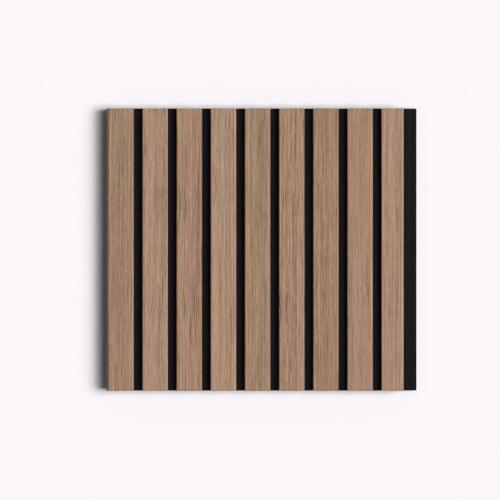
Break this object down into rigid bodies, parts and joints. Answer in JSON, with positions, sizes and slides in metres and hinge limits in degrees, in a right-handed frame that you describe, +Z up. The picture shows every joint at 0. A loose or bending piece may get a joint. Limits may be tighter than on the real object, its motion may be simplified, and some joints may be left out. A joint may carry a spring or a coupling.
{
  "type": "polystyrene wall panel",
  "caption": "Slatted wall panel: black foamed polystyrene comb with wood-print film on its slats, a tongue along one long edge and a rebate along the other.",
  "frame": {"origin": "centre of the panel's width and thickness, at its lower sawn end", "axes": "+X across the slats towards the tongue edge, +Y out of the flat back towards the wall, +Z up along the slats"},
  "size_m": [0.122, 0.012, 0.1108],
  "materials": {
    "black_polystyrene": "matt black foamed polystyrene with faint die lines",
    "wood_print_film": "satin embossed film printed as light brown oak"
  },
  "bodies": {
    "root": {"panel_core": "black_polystyrene", "slat_film_1": "wood_print_film", "slat_film_2": "wood_print_film", "slat_film_3": "wood_print_film", "slat_film_4": "wood_print_film", "slat_film_5": "wood_print_film", "slat_film_6": "wood_print_film", "slat_film_7": "wood_print_film", "slat_film_8": "wood_print_film", "slat_film_9": "wood_print_film"}
  },
  "joints": []
}
